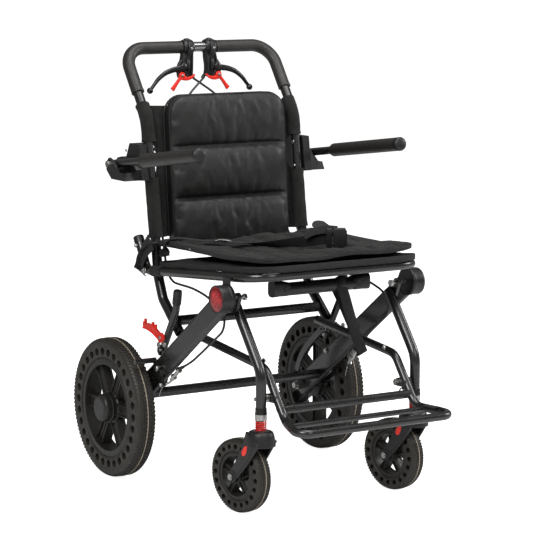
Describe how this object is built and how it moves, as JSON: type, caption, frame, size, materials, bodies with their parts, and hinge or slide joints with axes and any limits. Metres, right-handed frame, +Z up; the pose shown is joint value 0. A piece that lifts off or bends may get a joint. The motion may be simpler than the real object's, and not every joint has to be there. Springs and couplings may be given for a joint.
{
  "type": "transport wheelchair",
  "caption": "Folding transport wheelchair with small rear wheels, sprung front casters, flip-up armrests, padded seat and back, and a push handle with brake levers.",
  "frame": {"origin": "on the floor, below the middle of the bounding box", "axes": "+Z up, -Y is the chair's front, +X is the sitter's left"},
  "size_m": [0.622, 0.7894, 0.952],
  "materials": {
    "black_paint": "semi-gloss powder coat",
    "tyre_rubber": "matt rubber",
    "rim_plastic": "satin moulded",
    "black_plastic": "fine grain moulded",
    "zinc": "zinc plated",
    "red_plastic": "glossy",
    "red_spring": "gloss coat",
    "lever_black": "gloss black",
    "foam": "closed-cell foam",
    "leatherette": "grained",
    "seat_fabric": "woven mesh",
    "webbing": "ribbed webbing",
    "cable_sheath": "smooth"
  },
  "bodies": {
    "rear_frame": {"rear_bar_left": "black_paint", "rear_bar_right": "black_paint", "lower_cross_tube": "black_paint", "brace_bars": "black_paint", "seat_frame": "black_paint", "hub_housings": "black_plastic", "hub_reflectors": "red_plastic", "rear_axles": "zinc", "frame_pivot_bolts": "zinc", "seat_sling": "seat_fabric", "seat_cushion": "seat_fabric", "carry_handle": "foam", "pull_strap": "webbing", "lap_belt": "webbing", "belt_buckle": "black_plastic", "cable_adjusters": "zinc", "brake_cables_lower": "cable_sheath"},
    "back_frame": {"handle_frame": "black_paint", "upper_cross_tube": "black_paint", "back_pad": "leatherette", "back_sling": "seat_fabric", "handle_grips": "foam", "brake_lever_housings": "black_plastic", "armrest_brackets": "black_plastic", "armrest_pivot_bolts": "zinc", "brake_cables_upper": "cable_sheath"},
    "front_frame": {"front_leg_left": "black_paint", "front_leg_right": "black_paint", "stem_collars": "zinc", "footrest_pivot_bolts": "zinc", "front_spring_left": "red_spring", "front_spring_right": "red_spring"},
    "footrest": {"footrest_frame": "black_paint"},
    "rear_wheel_left": {"rear_tyre_left": "tyre_rubber", "rear_rim_left": "rim_plastic"},
    "armrest_left": {"armrest_tube_left": "black_paint", "armrest_pad_left": "foam"},
    "hand_lever_left": {"hand_brake_lever_left": "lever_black"},
    "park_lock_left": {"park_lock_lever_left": "red_plastic"},
    "wheel_brake_left": {"brake_arm_left": "black_paint"},
    "side_lever_left": {"side_lever_left": "black_paint"},
    "stem_left": {"caster_stem_left": "zinc"},
    "caster_left": {"fork_left": "black_plastic", "front_axle_left": "zinc"},
    "front_wheel_left": {"front_tyre_left": "tyre_rubber", "front_rim_left": "rim_plastic"},
    "rear_wheel_right": {"rear_tyre_right": "tyre_rubber", "rear_rim_right": "rim_plastic"},
    "armrest_right": {"armrest_tube_right": "black_paint", "armrest_pad_right": "foam"},
    "hand_lever_right": {"hand_brake_lever_right": "lever_black"},
    "park_lock_right": {"park_lock_lever_right": "red_plastic"},
    "wheel_brake_right": {"brake_arm_right": "black_paint"},
    "side_lever_right": {"side_lever_right": "black_paint"},
    "stem_right": {"caster_stem_right": "zinc"},
    "caster_right": {"fork_right": "black_plastic", "front_axle_right": "zinc"},
    "front_wheel_right": {"front_tyre_right": "tyre_rubber", "front_rim_right": "rim_plastic"},
    "clip": {"fold_clip": "red_plastic"}
  },
  "joints": [
    {"name": "back_fold", "type": "hinge", "parent": "rear_frame", "child": "back_frame", "pos_m": [0, 0.19075, 0.46], "axis": [1, 0, 0], "range_deg": [0, 40]},
    {"name": "front_leg_fold", "type": "hinge", "parent": "rear_frame", "child": "front_frame", "pos_m": [0, -0.16125, 0.448], "axis": [1, 0, 0], "range_deg": [0, 27]},
    {"name": "footrest_fold", "type": "hinge", "parent": "front_frame", "child": "footrest", "pos_m": [0, -0.23325, 0.246], "axis": [1, 0, 0], "range_deg": [-31, 0]},
    {"name": "rear_wheel_spin_left", "type": "hinge", "parent": "rear_frame", "child": "rear_wheel_left", "pos_m": [0.274, 0.24275, 0.1525], "axis": [1, 0, 0], "continuous": true},
    {"name": "suspension_left", "type": "slide", "parent": "front_frame", "child": "stem_left", "axis": [0, 0, 1], "range_m": [0, 0.008], "stiffness_N_per_m": 9000, "springref_m": -0.008, "deforming": ["front_spring_left"]},
    {"name": "caster_swivel_left", "type": "hinge", "parent": "stem_left", "child": "caster_left", "pos_m": [0.195, -0.24125, 0.17], "axis": [0, 0, 1], "continuous": true},
    {"name": "front_wheel_spin_left", "type": "hinge", "parent": "caster_left", "child": "front_wheel_left", "pos_m": [0.18458, -0.18216, 0.0765], "axis": [0.9848, 0.1736, 0], "continuous": true},
    {"name": "armrest_flip_left", "type": "hinge", "parent": "back_frame", "child": "armrest_left", "pos_m": [0.245, 0.28475, 0.688], "axis": [-1, 0, 0], "range_deg": [0, 100]},
    {"name": "hand_lever_squeeze_left", "type": "hinge", "parent": "back_frame", "child": "hand_lever_left", "pos_m": [0.044, 0.33075, 0.893], "axis": [0, -1, 0], "range_deg": [0, 28], "stiffness_Nm_per_rad": 0.6, "springref_deg": -11.46},
    {"name": "park_lock_left", "type": "hinge", "parent": "back_frame", "child": "park_lock_left", "pos_m": [0.048, 0.33075, 0.873], "axis": [0, 1, 0], "range_deg": [0, 25]},
    {"name": "wheel_brake_left", "type": "hinge", "parent": "rear_frame", "child": "wheel_brake_left", "pos_m": [0.243, 0.09775, 0.26], "axis": [-1, 0, 0], "range_deg": [0, 42], "stiffness_Nm_per_rad": 0.4, "springref_deg": -11.46},
    {"name": "side_lever_left", "type": "hinge", "parent": "rear_frame", "child": "side_lever_left", "pos_m": [0.2155, 0.12775, 0.292], "axis": [1, 0, 0], "range_deg": [0, 25]},
    {"name": "rear_wheel_spin_right", "type": "hinge", "parent": "rear_frame", "child": "rear_wheel_right", "pos_m": [-0.274, 0.24275, 0.1525], "axis": [1, 0, 0], "continuous": true},
    {"name": "suspension_right", "type": "slide", "parent": "front_frame", "child": "stem_right", "axis": [0, 0, 1], "range_m": [0, 0.008], "stiffness_N_per_m": 9000, "springref_m": -0.008, "deforming": ["front_spring_right"]},
    {"name": "caster_swivel_right", "type": "hinge", "parent": "stem_right", "child": "caster_right", "pos_m": [-0.195, -0.24125, 0.17], "axis": [0, 0, 1], "continuous": true},
    {"name": "front_wheel_spin_right", "type": "hinge", "parent": "caster_right", "child": "front_wheel_right", "pos_m": [-0.20542, -0.18216, 0.0765], "axis": [0.9848, 0.1736, 0], "continuous": true},
    {"name": "armrest_flip_right", "type": "hinge", "parent": "back_frame", "child": "armrest_right", "pos_m": [-0.245, 0.28475, 0.688], "axis": [-1, 0, 0], "range_deg": [0, 100]},
    {"name": "hand_lever_squeeze_right", "type": "hinge", "parent": "back_frame", "child": "hand_lever_right", "pos_m": [-0.044, 0.33075, 0.893], "axis": [0, 1, 0], "range_deg": [0, 28], "stiffness_Nm_per_rad": 0.6, "springref_deg": -11.46},
    {"name": "park_lock_right", "type": "hinge", "parent": "back_frame", "child": "park_lock_right", "pos_m": [-0.048, 0.33075, 0.873], "axis": [0, -1, 0], "range_deg": [0, 25]},
    {"name": "wheel_brake_right", "type": "hinge", "parent": "rear_frame", "child": "wheel_brake_right", "pos_m": [-0.243, 0.09775, 0.26], "axis": [-1, 0, 0], "range_deg": [0, 42], "stiffness_Nm_per_rad": 0.4, "springref_deg": -11.46},
    {"name": "side_lever_right", "type": "hinge", "parent": "rear_frame", "child": "side_lever_right", "pos_m": [-0.2155, 0.12775, 0.292], "axis": [1, 0, 0], "range_deg": [0, 25]},
    {"name": "clip_turn", "type": "hinge", "parent": "side_lever_right", "child": "clip", "pos_m": [-0.227, 0.11475, 0.323], "axis": [1, 0, 0], "range_deg": [0, 45]}
  ],
  "couplings": [
    {"joint": "front_leg_fold", "follows": "back_fold", "ratio": 0.674},
    {"joint": "footrest_fold", "follows": "back_fold", "ratio": -0.772},
    {"joint": "wheel_brake_left", "follows": "hand_lever_squeeze_right", "ratio": 1.5},
    {"joint": "wheel_brake_right", "follows": "hand_lever_squeeze_left", "ratio": 1.5}
  ]
}
